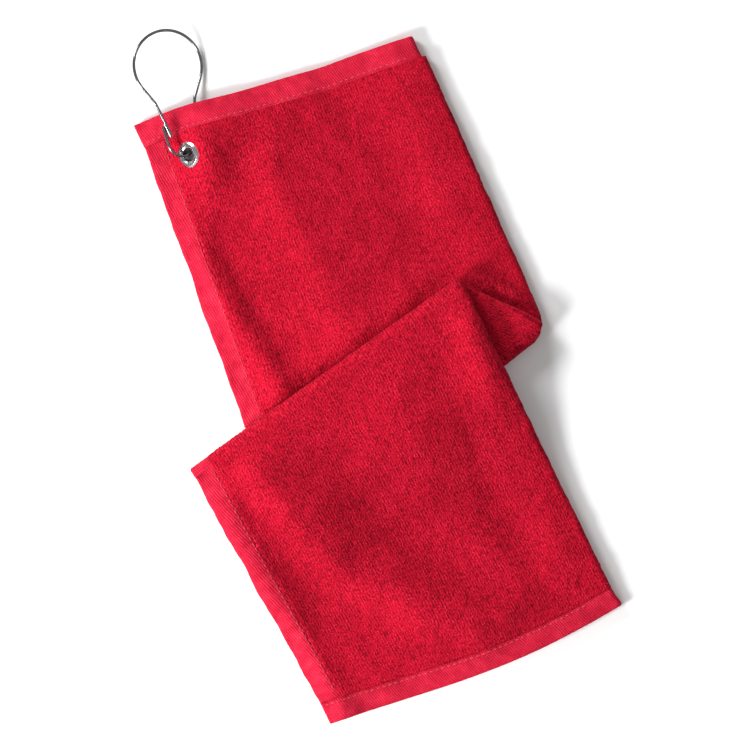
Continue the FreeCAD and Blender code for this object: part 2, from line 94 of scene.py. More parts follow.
def noise(x, y, cell, seed=0):
    """Smooth noise from -1 to 1 with features about cell wide."""
    x = x / cell + 37.0 * seed + 200
    y = y / cell + 91.0 * seed + 200
    column, row = np.floor(x).astype(int), np.floor(y).astype(int)
    across, along = x - column, y - row
    across = across * across * (3 - 2 * across)
    along = along * along * (3 - 2 * along)
    size = len(LATTICE)
    near, far = column % size, (column + 1) % size
    low, high = row % size, (row + 1) % size
    bottom = LATTICE[near, low] * (1 - across) + LATTICE[far, low] * across
    top = LATTICE[near, high] * (1 - across) + LATTICE[far, high] * across
    return bottom * (1 - along) + top * along


def spaced(start, end, cell, soft_start=False, soft_end=False):
    """Positions from start to end, closer together at an end whose edge is rounded."""
    fine = np.array([0.0, 0.12, 0.4, 0.85, 1.4])
    first = start + fine if soft_start else np.array([start])
    last = end - fine[::-1] if soft_end else np.array([end])
    count = max(2, int(round((last[0] - first[-1]) / cell)) + 1)
    middle = np.linspace(first[-1], last[0], count)
    return np.concatenate([first[:-1], middle, last[1:]])


def rounded(distance):
    """Share of the thickness left at a distance from a rounded edge."""
    inside = 1 - np.clip(distance / 1.4, 0, 1)
    return np.maximum(0.1, np.sqrt(np.maximum(0, 1 - inside * inside)))


def to_row_frame(panel, x, y, z):
    """Points of a panel's frame in the row frame, still in millimetres."""
    turn = math.radians(panel[2])
    c, s = math.cos(turn), math.sin(turn)
    return np.stack([panel[0] + c * x - s * y, panel[1] + s * x + c * y, z], axis=-1)


def to_panel(panel, point):
    """A point of the row frame, in metres, in a panel's frame."""
    turn = math.radians(panel[2])
    c, s = math.cos(turn), math.sin(turn)
    x, y = point[0] / MM - panel[0], point[1] / MM - panel[1]
    return c * x + s * y, -s * x + c * y, point[2] / MM


# The hook's own frame, from its joint and mount ---------------------------------------------

HOOK_JOINT = next(j for j in frame["joints"] if j["name"] == "hook_arm_open")
HOOK_LOOP = next(m for m in frame["record"]["mounts"] if m["name"] == "hook_loop")
CROWN = np.array(HOOK_JOINT["pos_m"])
BULB = np.array(HOOK_LOOP["pos_m"])
HOOK_NORMAL = np.array(HOOK_LOOP["axis"])
HOOK_UP = (CROWN - BULB) / np.linalg.norm(CROWN - BULB)
HOOK_UP = HOOK_UP - HOOK_NORMAL * np.dot(HOOK_UP, HOOK_NORMAL)
HOOK_UP = HOOK_UP / np.linalg.norm(HOOK_UP)
HOOK_RIGHT = np.cross(HOOK_UP, HOOK_NORMAL)
BULB_UP = 50.4


def hook_point(right, up):
    """A point of the hook's plane, from millimetres in its own frame to metres in the row frame."""
    return BULB + HOOK_RIGHT * right * MM + HOOK_UP * (up - BULB_UP) * MM


# Mesh of a thick sheet ----------------------------------------------------------------------


def make_mesh(name, points, faces, uvs=None, slots=None, materials=(), flat=0):
    """A mesh from points in metres, smooth-shaded but for its last few faces.

    uvs are per point and slots per face; flat counts the flat faces."""
    mesh = bpy.data.meshes.new(name)
    mesh.from_pydata(points.tolist(), [], faces.tolist())
    for material in materials:
        mesh.materials.append(material)
    mesh.polygons.foreach_set("use_smooth", np.arange(len(faces)) < len(faces) - flat)
    if slots is not None:
        mesh.polygons.foreach_set("material_index", slots.astype(np.int32))
    if uvs is not None:
        layer = mesh.uv_layers.new(name="weave")
        corners = np.empty(len(mesh.loops), np.int32)
        mesh.loops.foreach_get("vertex_index", corners)
        layer.data.foreach_set("uv", uvs[corners].ravel())
    mesh.update()
    piece = bpy.data.objects.new(name, mesh)
    bpy.context.scene.collection.objects.link(piece)
    return piece


def thick_sheet(name, middle, face_side, back_side, weave, keep, slots, materials, level=(True, True)):
    """A closed sheet: its middle surface pushed out both ways along its normals.

    middle is rows by columns by xyz in mm; keep says which cells are cloth; the rims are walled.
    level says whether the cloth runs level through its first and last row, where it meets another piece."""
    across = np.gradient(middle, axis=1)
    along = np.gradient(middle, axis=0)
    for row, is_level in zip((0, -1), level):
        if is_level:
            along[row, :, 2] = 0
    normal = np.cross(along, across)
    normal /= np.maximum(np.linalg.norm(normal, axis=2, keepdims=True), 1e-9)
    rows, columns = middle.shape[:2]
    face = middle + normal * face_side[..., None]
    back = middle - normal * back_side[..., None]
    points = np.concatenate([face.reshape(-1, 3), back.reshape(-1, 3)]) * MM
    points[:, 2] = np.maximum(points[:, 2], 0)
    uvs = np.concatenate([weave.reshape(-1, 2), weave.reshape(-1, 2)]) * MM

    index = np.arange(rows * columns).reshape(rows, columns)
    a, b = index[:-1, :-1], index[1:, :-1]
    c, d = index[1:, 1:], index[:-1, 1:]
    cells = np.stack([a, b, c, d], axis=-1)[keep]
    shift = rows * columns
    padded = np.zeros((rows + 1, columns + 1), bool)
    padded[1:-1, 1:-1] = keep
    zone = np.zeros(padded.shape, int)
    zone[1:-1, 1:-1] = slots
    walls, wall_slots = [], []
    for step, first, second in (
        ((0, -1), b, a),
        ((0, 1), d, c),
        ((-1, 0), a, d),
        ((1, 0), c, b),
    ):
        beyond = np.roll(padded, (-step[0], -step[1]), (0, 1))[1:-1, 1:-1]
        rim = keep & ~beyond
        p, q = first[rim], second[rim]
        walls.append(np.stack([p, q, q + shift, p + shift], axis=-1))
        wall_slots.append(slots[rim])
    faces = np.concatenate([cells, cells[:, ::-1] + shift] + walls)
    face_slots = np.concatenate([slots[keep], slots[keep]] + wall_slots)
    used = np.unique(faces)
    renumber = np.zeros(2 * shift, int)
    renumber[used] = np.arange(len(used))
    flat = sum(len(wall) for wall in walls)
    return make_mesh(name, points[used], renumber[faces], uvs[used], face_slots, materials, flat)


# Heights of the cloth -----------------------------------------------------------------------


def crest(x, y, path, width, height, lee=None):
    """A soft ridge that follows a path given as (y, x) pairs, and fades out past its ends.

    width is its width to the left, and to the right too unless lee gives another."""
    ys = np.array([p[0] for p in path])
    xs = np.array([p[1] for p in path])
    order = np.argsort(ys)
    centre = np.interp(y, ys[order], xs[order])
    fade = smooth(ys.min() - 25, ys.min(), y) * (1 - smooth(ys.max(), ys.max() + 25, y))
    side = np.where(x > centre, lee or width, width)
    return height * np.exp(-(((x - centre) / side) ** 2)) * fade


GROMMET = (23.3, -24.0, 7.2)
GROMMET_TILT = math.radians(38)
HOLE = 5.4  # radius of the grommet's hole in the cloth


def corner_supports():
    """Points that the cloth's middle passes through in the liftable corner."""
    points = []
    for ring, count in ((0.0, 1), (4.5, 8), (8.6, 12)):
        for i in range(count):
            angle = 2 * math.pi * i / count
            x = GROMMET[0] + ring * math.cos(angle) * math.cos(GROMMET_TILT)
            y = GROMMET[1] + ring * math.sin(angle)
            up = GROMMET[2] + ring * math.cos(angle) * math.sin(GROMMET_TILT)
            points.append((x, y, up))
    for right, up in ((9.6, 17), (10.4, 22), (11.0, 26)):
        x, y, z = to_panel(UPPER, hook_point(right, up))
        points.append((x, y, z + 2.9))
    points += [(1, -2, 3.0), (14, -1, 4.6), (60, -1, 5.0), (1, -18, 2.4), (1.5, -34, 2.2), (2, -55, 2.6)]
    points += [(12, -50, 3.6), (24, -50, 5.6), (41, -30, 11.0), (40, -14, 10.0), (57, -24, 9.3)]
    points += [(9, -12, 3.6)]
    for along in np.linspace(0.0, 1.0, 6):
        points.append((96 * along + 2, -96 + 95 * along, 4.5 + 2.6 * math.sin(math.pi * along)))
    return np.array(points)


SUPPORTS = corner_supports()


def thin_plate(distance):
    """The smooth bending of a thin plate at a distance from a support."""
    return distance**2 * np.log(distance + 1e-6)


def solve_corner():
    """Weights of the smoothest surface through the corner's supports."""
    x, y, z = SUPPORTS.T
    apart = np.hypot(x[:, None] - x, y[:, None] - y)
    flat = np.stack([np.ones_like(x), x, y], axis=1)
    top = np.hstack([thin_plate(apart) + np.eye(len(x)) * 2.0, flat])
    bottom = np.hstack([flat.T, np.zeros((3, 3))])
    return np.linalg.solve(np.vstack([top, bottom]), np.concatenate([z, np.zeros(3)]))


CORNER_WEIGHTS = solve_corner()


def corner_height(x, y):
    """Middle of the front layer in the liftable corner."""
    total = CORNER_WEIGHTS[-3] + CORNER_WEIGHTS[-2] * x + CORNER_WEIGHTS[-1] * y
    for weight, (px, py, _) in zip(CORNER_WEIGHTS, SUPPORTS):
        total = total + weight * thin_plate(np.hypot(x - px, y - py))
    return total


def from_upper(panel, x, y):
    """Points of the upper panel's frame in another panel's frame."""
    place = to_row_frame(UPPER, x, y, 0 * x)
    turn = math.radians(panel[2])
    c, s = math.cos(turn), math.sin(turn)
    dx, dy = place[..., 0] - panel[0], place[..., 1] - panel[1]
    return c * dx + s * dy, -s * dx + c * dy


def past_fold_two(x, y):
    """How far a point of the upper panel lies outside the second fold, which rests across the panel."""
    return from_upper(LOWER, x, y)[1]


def past_middle(x, y):
    """How far a point of the upper panel lies outside the middle panel's right edge, and how far up it."""
    along, up = from_upper(MIDDLE, x, y)
    along = along - MIDDLE_NEAR[1][0]
    way = np.array(MIDDLE_FAR[1], float) - np.array(MIDDLE_NEAR[1], float)
    way /= np.linalg.norm(way)
    return along * way[1] - up * way[0], up


def upper_height(x, y, from_left, to_right, share):
    """Middle of the upper panel's front layer. share, which runs from the hem to the fold, is not used."""
    single = smooth(BACK - 10, BACK + 14, to_right)
    height = 4.5 - 2.3 * single
    edge = [(-50, 8), (-80, 9.5), (-105, 14), (-130, 19), (-150, 23), (-170, 27)]
    wave = crest(from_left, y, edge, 8, 4.4, 9)
    wave += crest(from_left, y, [(-28, 58), (-91, 62), (-165, 70)], 24, 3.8)
    wave -= crest(from_left, y, [(-20, 112), (-75, 127), (-130, 136)], 18, 2.2)
    wave += crest(from_left, y, [(-142, 108), (-165, 104)], 12, 2.4)
    wave += crest(from_left, y, [(-10, 152), (-95, 150)], 13, 1.9)
    wave += crest(from_left, y, [(-8, 96), (-40, 100), (-60, 112)], 7, 0.8)
    wave += 0.8 * noise(x, y, 34, 1) + 0.5 * noise(x, y, 15, 2) + 0.3 * noise(x, y, 8, 3)
    past = past_fold_two(x, y)
    wave += 2.7 * np.exp(-(((past - 14) / 7) ** 2)) * smooth(15, 60, to_right) * smooth(8, 40, from_left)
    wave *= (0.6 + 0.4 * smooth(0, 30, to_right)) * smooth(1, 12, past)
    outside, up = past_middle(x, y)
    beside = smooth(-4, 6, up) * (1 - smooth(34, 50, up)) * smooth(1, 12, to_right)
    wave -= 0.8 * np.exp(-(((outside - 0.6) / 1.8) ** 2)) * beside
    wave += 2.9 * np.exp(-(((outside - 6.0) / 3.6) ** 2)) * beside
    height = height + wave
    corner = 1 - smooth(66, 108, x - y)
    return height * (1 - corner) + corner_height(x, y) * corner


def lower_drop(y):
    """How far the lower panel has come down to the table: 0 beside the fold, 1 where it lies flat."""
    return smooth(-42, -118, y)


def lower_height(x, y, from_left, to_right, share):
    """Middle of the lower panel's front layer. share runs from the fold to the hem and past it."""
    drop = lower_drop(y)
    height = 17.1 - 12.6 * drop
    single = smooth(BACK - 10, BACK + 16, to_right)
    height = height - 2.4 * single * drop
    wave = crest(from_left, y, [(-30, 5), (-60, 6.5), (-90, 9), (-145, 10)], 6, 3.4, 9)
    swell = [(-14, 32), (-36, 37), (-60, 41), (-85, 48), (-110, 59), (-135, 75), (-157, 97)]
    wave += crest(from_left, y, swell, 12, 6.9, 27)
    wave -= crest(from_left, y, [(-20, 62), (-65, 74), (-116, 94), (-140, 112)], 16, 0.9)
    wave += crest(from_left, y, [(-30, 112), (-100, 118), (-165, 128)], 18, 1.5)
    wave -= crest(from_left, y, [(-20, 148), (-80, 142), (-150, 138)], 10, 0.8)
    wave += crest(from_left, y, [(-25, 170), (-160, 160)], 12, 1.3)
    wave += crest(from_left, y, [(-5, 175), (-14, 174), (-46, 169)], 8, 3.6)
    wave += 0.8 * noise(x, y, 36, 4) + 0.5 * noise(x, y, 16, 5) + 0.3 * noise(x, y, 8, 3)
    leaves_fold = smooth(0.0, 0.14, share)
    flat_hem = 1 - 0.45 * smooth(0.9, 1.0, share)
    return height + wave * leaves_fold * flat_hem


def pile_relief(x, y):
    """How far the terry's loops stand out, column by column and loop by loop."""
    columns = 0.10 * np.cos(2 * math.pi * x / 2.6 + 1.6 * noise(x, y, 9, 6))
    return 0.13 * noise(x, y, 1.3, 7) + 0.16 * noise(x, y, 2.7, 8) + 0.14 * noise(x, y, 6, 9) + columns


# A strip of cloth across a panel ------------------------------------------------------------


def strip_section(width, start, columns):
    """Cross-section of the strip for one row: distance from the left edge and depth below the front.

    columns is (front, turn, back) positions as shares."""
    front, turn, back = columns
    centre = width - 2 * TURN
    angle = turn * math.pi
    x = np.concatenate(
        [start + front * (centre - start), centre + TURN * np.sin(angle), centre - back * BACK_RUN]
    )
    depth = np.concatenate([0 * front, TURN * (1 - np.cos(angle)), 0 * back + 2 * TURN])
    return x, depth


def section_columns(width, start, cell):
    """Shares along the front layer, the lengthwise fold and the layer turned under, for strip_section."""
    front = spaced(0, width - 2 * TURN - start, cell, soft_start=True) / (width - 2 * TURN - start)
    turn = np.linspace(0, 1, 9)[1:-1]
    back = spaced(0, BACK_RUN, 2.4, soft_end=True) / BACK_RUN
    return front, turn, back


def ruled(left, right, x):
    """Points a distance x along each row, from the row's left end towards its right end."""
    run = right - left
    run = run / np.linalg.norm(run, axis=-1, keepdims=True)
    return left[:, None, :] + run[:, None, :] * x[..., None]


def between(start, end, shares):
    """Points on the line from start to end."""
    start, end = np.array(start, float), np.array(end, float)
    return start + (end - start) * shares[:, None]


class Span:
    """A stretch of the strip between two lines across a panel, each given by its left and right end."""

    def __init__(self, panel, first, last, height, under, up, pulled=None, bow=None):
        self.panel = panel
        self.first = first
        self.last = last
        self.height = height  # of the front layer's middle
        self.under = under  # of the middle of the layer turned under
        self.up = up  # 1 when the towel's face looks up, -1 when it looks down
        self.pulled = pulled  # share at which the right end is rounded off, if it is
        self.bow = bow  # shift along the strip, where the end of the strip isn't straight

    def rows(self, shares):
        """Left and right end of each row."""
        left = between(self.first[0], self.last[0], shares)
        right = between(self.first[1], self.last[1], shares)
        if self.pulled is not None:
            length = np.linalg.norm(np.array(self.last[1]) - np.array(self.first[1]))
            inside = 1 - np.clip(np.abs(shares - self.pulled) * length / ROUNDED, 0, 1)
            pull = ROUND_PULL * inside**2
            run = (right - left) / np.linalg.norm(right - left, axis=1, keepdims=True)
            right = right - run * pull[:, None]
        return left, right


def lay_span(span, shares, x, depth):
    """Middle surface of a piece of the strip: one row per share, x and depth per row and column."""
    left, right = span.rows(shares)
    width = np.linalg.norm(right - left, axis=1)[:, None]
    flat = ruled(left, right, x)
    px, py = flat[..., 0], flat[..., 1]
    if span.bow is not None:
        py = py + span.bow(x, x / width, np.broadcast_to(shares[:, None], px.shape))
    shape = np.broadcast_to(shares[:, None], px.shape)
    front = span.height(px, py, x, width - x, shape)
    under = span.under(px, py, x, width - x, shape)
    share = depth / (2 * TURN)
    z = front * (1 - share) + under * share
    return px, py, to_row_frame(span.panel, px, py, z)


def upper_under(x, y, from_left, to_right, share):
    """Middle of the upper panel's layer turned under, flat on the table."""
    return 1.5 + 0 * x


LOWER_EDGE, LOWER_LEAN, LEAN_COSINE = 153.1, 0.214, 0.978  # the lower panel's right edge, on the middle panel
MIDDLE_TOP = 10.8


def middle_top(x, y, from_left, to_right, share):
    """The layer that the middle panel turns up.

    Its right edge curls up where the lower panel leaves it free."""
    free = (x - LOWER_EDGE - LOWER_LEAN * y) * LEAN_COSINE
    return MIDDLE_TOP + 1.2 * smooth(4, 11, free) * (1 - smooth(2, 13, to_right)) * smooth(0, 9, y)


def middle_front(x, y, from_left, to_right, share):
    """The middle panel's front layer, which looks down."""
    return middle_top(x, y, from_left, to_right, share) - 2 * TURN


def lower_under(x, y, from_left, to_right, share):
    """The lower panel's layer turned under."""
    return 14.1 - 12.55 * lower_drop(y)


def top_bow(x):
    """The top hem isn't straight: it swells above the grommet and dips further right."""
    return 2.3 * np.exp(-(((x - 28) / 26) ** 2)) - 0.9 * np.exp(-(((x - 108) / 16) ** 2))


def bottom_bow(across):
    """The bottom hem hangs outward in one long curve. across runs from 0 at its left end to 1."""
    return -6.2 * np.sin(math.pi * np.clip(across, 0, 1) ** 1.25)


UPPER_TOP = ((-2.0, 0.4), (160.6, 0))
UPPER_HEM = ((0.34, -12.5), (162.2, -12.5))
UPPER_PILE = ((0.34, -12.5), (164.0, -12.5))
UPPER_FOLD = ((6.4, -234.8), (180.1, -172.15))
MIDDLE_NEAR = ((0, 0), (184.6, 0))
MIDDLE_FAR = ((-19.7, 50.5), (162.1, 42.2))
LOWER_FOLD = ((0, 0), (181.8, 0))
LOWER_HEM = ((-17.0, -141.5), (151.4, -182.2))
LOWER_END = ((-18.5, -154.0), (151.3, -193.6))

UPPER_SPAN = Span(
    UPPER, UPPER_PILE, UPPER_FOLD, upper_height, upper_under, 1,
    pulled=1, bow=lambda x, across, share: top_bow(x) * (1 - smooth(0, 0.2, share)),
)
UPPER_HEM_SPAN = Span(
    UPPER, UPPER_TOP, UPPER_HEM, upper_height, upper_under, 1,
    bow=lambda x, across, share: top_bow(x),
)
MIDDLE_SPAN = Span(MIDDLE, MIDDLE_NEAR, MIDDLE_FAR, middle_front, middle_top, -1, pulled=0)
LOWER_SPAN = Span(
    LOWER, LOWER_FOLD, LOWER_HEM, lower_height, lower_under, 1,
    bow=lambda x, across, share: bottom_bow(across) * smooth(0.5, 1, share),
)
LOWER_HEM_SPAN = Span(
    LOWER, LOWER_HEM, LOWER_END, lower_height, lower_under, 1,
    bow=lambda x, across, share: bottom_bow(across),
)


# Materials ----------------------------------------------------------------------------------


class Shader:
    """A material's node tree, with short ways to add nodes to it."""

    def __init__(self, name):
        self.material = bpy.data.materials.new(name)
        self.material.use_nodes = True
        self.tree = self.material.node_tree
        self.surface = self.tree.nodes["Principled BSDF"]

    def node(self, kind, **inputs):
        """A new node, with its inputs given by name."""
        made = self.tree.nodes.new(kind)
        for key, value in inputs.items():
            self.connect(value, made.inputs[key.replace("_", " ")])
        return made

    def connect(self, value, socket):
        """Links an output to a socket, or sets the socket to a constant."""
        if isinstance(value, bpy.types.NodeSocket):
            self.tree.links.new(value, socket)
        else:
            socket.default_value = value

    def weave(self):
        """Millimetre coordinates of the cloth: across the strip and along it."""
        uv = self.tree.nodes.new("ShaderNodeUVMap")
        uv.uv_map = "weave"
        scale = self.node("ShaderNodeVectorMath", Vector=uv.outputs["UV"])
        scale.operation = "SCALE"
        scale.inputs["Scale"].default_value = 1 / MM
        return scale.outputs["Vector"]

    def place(self):
        return self.tree.nodes.new("ShaderNodeTexCoord").outputs["Object"]

    def noise(self, vector, size, detail=2.0, rough=0.5):
        made = self.node("ShaderNodeTexNoise", Vector=vector, Scale=1 / size, Detail=detail)
        made.inputs["Roughness"].default_value = rough
        return made.outputs["Fac"]

    def ramp(self, value, stops):
        made = self.node("ShaderNodeValToRGB", Fac=value)
        elements = made.color_ramp.elements
        while len(elements) < len(stops):
            elements.new(0.5)
        for element, (place, colour) in zip(elements, stops):
            element.position = place
            element.color = (*colour, 1)
        return made.outputs["Color"]

    def maths(self, operation, first, second=0.0):
        made = self.tree.nodes.new("ShaderNodeMath")
        made.operation = operation
        self.connect(first, made.inputs[0])
        self.connect(second, made.inputs[1])
        return made.outputs["Value"]

    def bump(self, height, distance, strength=1.0):
        made = self.node("ShaderNodeBump", Height=height)
        made.inputs["Distance"].default_value = distance
        made.inputs["Strength"].default_value = strength
        self.connect(made.outputs["Normal"], self.surface.inputs["Normal"])


def terry():
    """Cotton terry: small loops in columns, with painted shade between the loops and a painted highlight on
    their tops, over random tone.
    """
    s = Shader("red_terry")
    weave = s.weave()
    stretched = s.node("ShaderNodeMapping", Vector=weave)
    stretched.inputs["Scale"].default_value = (1.0, 0.72, 1.0)
    loops = s.node("ShaderNodeTexVoronoi", Vector=stretched.outputs["Vector"], Scale=1.3)
    # Loop height: 1 on a loop's top, falling to 0 between loops. In the colour it paints highlights on the
    # tops and shade between the loops; in the bump it is real relief.
    loop_height_and_painted_light = s.maths("SUBTRACT", 1.0, loops.outputs["Distance"])
    fine = s.noise(weave, 0.7, 3, 0.7)
    patch = s.noise(weave, 1.4, 3, 0.65)
    wide = s.noise(weave, 26.0, 3, 0.6)
    columns = s.node("ShaderNodeTexWave", Vector=weave, Scale=0.2, Distortion=3.0, Detail=2.0).outputs["Fac"]
    tone = s.maths("ADD", s.maths("MULTIPLY", loop_height_and_painted_light, 0.50), s.maths("MULTIPLY", fine, 0.34))
    tone = s.maths("ADD", tone, s.maths("MULTIPLY", patch, 0.20))
    tone = s.maths("ADD", tone, s.maths("MULTIPLY", s.maths("SUBTRACT", columns, 0.5), 0.13))
    tone = s.maths("ADD", tone, s.maths("MULTIPLY", s.maths("SUBTRACT", wide, 0.5), 0.20))
    # For the loop term this ramp runs from painted shade (dark) to painted highlight (pinkish light); for the
    # noise terms it gives darker and lighter random tone.
    colour = s.ramp(
        tone,
        [
            (0.32, (0.20, 0.0012, 0.009)),
            (0.50, (0.40, 0.0028, 0.017)),
            (0.66, (0.54, 0.0060, 0.028)),
            (0.88, (0.84, 0.045, 0.085)),
        ],
    )
    s.connect(colour, s.surface.inputs["Base Color"])
    s.surface.inputs["Roughness"].default_value = 0.92
    s.surface.inputs["Specular IOR Level"].default_value = 0.08
    s.surface.inputs["Sheen Weight"].default_value = 0.10
    s.surface.inputs["Sheen Roughness"].default_value = 0.5
    s.surface.inputs["Sheen Tint"].default_value = (1.0, 0.10, 0.18, 1)
    relief = s.maths("ADD", s.maths("MULTIPLY", loop_height_and_painted_light, 0.6), s.maths("MULTIPLY", fine, 0.7))
    relief = s.maths("ADD", relief, s.maths("MULTIPLY", columns, 0.25))
    s.bump(s.maths("ADD", relief, s.maths("MULTIPLY", patch, 0.5)), 0.0006, 0.8)
    return s.material


def woven_hem():
    """Flat hem: fine ribs along the strip, lighter and smoother than the pile."""
    s = Shader("red_hem")
    weave = s.weave()
    turned = s.node("ShaderNodeMapping", Vector=weave)
    turned.inputs["Rotation"].default_value = (0, 0, math.radians(12))
    slanted = turned.outputs["Vector"]
    ribs = s.node("ShaderNodeTexWave", Vector=slanted, Scale=0.25, Distortion=3.0, Detail=2.0).outputs["Fac"]
    cross = s.node("ShaderNodeTexWave", Vector=weave, Scale=0.32, Distortion=1.6, Detail=1.0)
    cross.bands_direction = "Y"
    fine = s.noise(weave, 0.8, 3, 0.7)
    patch = s.noise(weave, 5.0, 3, 0.6)
    tone = s.maths("ADD", s.maths("MULTIPLY", ribs, 0.18), s.maths("MULTIPLY", fine, 0.46))
    tone = s.maths("ADD", tone, s.maths("MULTIPLY", cross.outputs["Fac"], 0.10))
    tone = s.maths("ADD", tone, s.maths("MULTIPLY", patch, 0.36))
    wide = s.noise(weave, 24.0, 2, 0.5)
    tone = s.maths("ADD", tone, s.maths("MULTIPLY", s.maths("SUBTRACT", wide, 0.5), 0.24))
    colour = s.ramp(
        tone,
        [
            (0.34, (0.25, 0.0022, 0.015)),
            (0.50, (0.46, 0.0055, 0.027)),
            (0.64, (0.60, 0.013, 0.044)),
            (0.86, (0.84, 0.065, 0.110)),
        ],
    )
    s.connect(colour, s.surface.inputs["Base Color"])
    s.surface.inputs["Roughness"].default_value = 0.86
    s.surface.inputs["Specular IOR Level"].default_value = 0.12
    s.surface.inputs["Sheen Weight"].default_value = 0.10
    s.surface.inputs["Sheen Roughness"].default_value = 0.4
    s.surface.inputs["Sheen Tint"].default_value = (1.0, 0.2, 0.28, 1)
    relief = s.maths("ADD", s.maths("MULTIPLY", ribs, 0.45), s.maths("MULTIPLY", fine, 0.7))
    s.bump(s.maths("ADD", relief, s.maths("MULTIPLY", patch, 0.5)), 0.0004, 0.8)
    return s.material


def sewing_thread():
    """Twisted red thread with a slight shine."""
    s = Shader("red_thread")
    weave = s.place()
    tone = s.noise(weave, 0.0008, 2, 0.5)
    colour = s.ramp(tone, [(0.3, (0.42, 0.005, 0.024)), (0.7, (0.62, 0.016, 0.048))])
    s.connect(colour, s.surface.inputs["Base Color"])
    s.surface.inputs["Roughness"].default_value = 0.6
    s.surface.inputs["Sheen Weight"].default_value = 0.2
    s.bump(tone, 0.0002, 0.6)
    return s.material


def bright_metal(name, colour, rough, grain):
    """Plated metal with fine scratches and a faint unevenness."""
    s = Shader(name)
    place = s.place()
    smear = s.noise(place, 0.006, 3, 0.6)
    scratches = s.noise(place, 0.0005, 4, 0.7)
    tint = tuple(c * 0.86 for c in colour)
    s.connect(s.ramp(smear, [(0.35, tint), (0.65, colour)]), s.surface.inputs["Base Color"])
    s.surface.inputs["Metallic"].default_value = 1.0
    worn = s.maths("ADD", s.maths("MULTIPLY", smear, grain), rough)
    s.connect(worn, s.surface.inputs["Roughness"])
    s.bump(s.maths("ADD", s.maths("MULTIPLY", scratches, 0.3), smear), 0.00004, 0.15)
    return s.material


TERRY = terry()
HEM = woven_hem()
THREAD = sewing_thread()
CHROME = bright_metal("hook_chrome", (0.18, 0.185, 0.19), 0.15, 0.08)
NICKEL = bright_metal("grommet_nickel", (0.48, 0.49, 0.50), 0.20, 0.10)


# Pieces of the strip ------------------------------------------------------------------------


def edge_wander(y, seed):
    """How far a sewn edge strays sideways, in mm."""
    return 0.5 * noise(y, 0 * y, 21, seed) + 0.25 * noise(y, 0 * y, 6, seed + 1)


def pile_sheet(name, span, soft_first=True, punch=False):
    """The pile cloth of one panel: front layer, lengthwise fold and the layer turned under.

    soft_first rounds its first row off; punch cuts the grommet's hole."""
    left, right = span.rows(np.array([0.5]))
    width = float(np.linalg.norm(right - left))
    length = np.linalg.norm(np.array(span.last) - np.array(span.first), axis=1).mean()
    start = PILE_START
    front, turn, back = section_columns(width, start, CELL)
    shares = spaced(0, length, CELL, soft_first) / length
    left, right = span.rows(shares)
    widths = np.linalg.norm(right - left, axis=1)
    sections = [strip_section(w, start, (front, turn, back)) for w in widths]
    x = np.array([section[0] for section in sections])
    depth = np.array([section[1] for section in sections])
    px, py, middle = lay_span(span, shares, x, depth)

    first_turn, first_back = len(front), len(front) + len(turn)
    from_start = front * (width - 2 * TURN - start)
    along_front = np.concatenate([from_start, np.full(len(turn) + len(back), FAR)])
    from_end = np.concatenate([np.full(first_back, FAR), (1 - back) * BACK_RUN])
    soft = rounded(along_front) * rounded(from_end)
    rim = np.ones(len(shares))
    if soft_first:
        rim = rim * rounded(shares * length)
    soft = soft[None, :] * rim[:, None]

    girth = np.concatenate(
        [start + from_start, width + turn * TURN_GIRTH, width + TURN_GIRTH + back * BACK_RUN]
    )
    across = np.broadcast_to(girth, px.shape)
    along = np.broadcast_to((shares * length)[:, None], px.shape) + WEAVE_START
    relief = pile_relief(across, along)
    if not soft_first:
        relief = relief * smooth(0, 5, shares * length)[:, None]
    relief = relief * smooth(0, 5, (1 - shares) * length)[:, None]
    thin_back = np.where(np.arange(px.shape[1]) >= px.shape[1] - THIN_COLUMNS, HEM_PLY, 1.0)
    face_side = (HALF_PLY + relief) * soft * thin_back
    back_side = (HALF_PLY - 0.15 + 0.5 * relief) * soft * thin_back

    keep = np.ones((px.shape[0] - 1, px.shape[1] - 1), bool)
    if punch:
        cx = (px[:-1, :-1] + px[1:, 1:]) / 2 - GROMMET[0]
        cy = (py[:-1, :-1] + py[1:, 1:]) / 2 - GROMMET[1]
        hole = (cx / math.cos(GROMMET_TILT)) ** 2 + cy**2 < HOLE**2
        hole[:, first_turn:] = False
        keep &= ~hole
    slots = np.zeros(keep.shape, int)
    slots[:, -HEM_COLUMNS:] = 1
    weave = np.stack([across, along], axis=-1)
    level = (not soft_first, True)
    return thick_sheet(name, middle, face_side, back_side, weave, keep, slots, (TERRY, HEM), level)


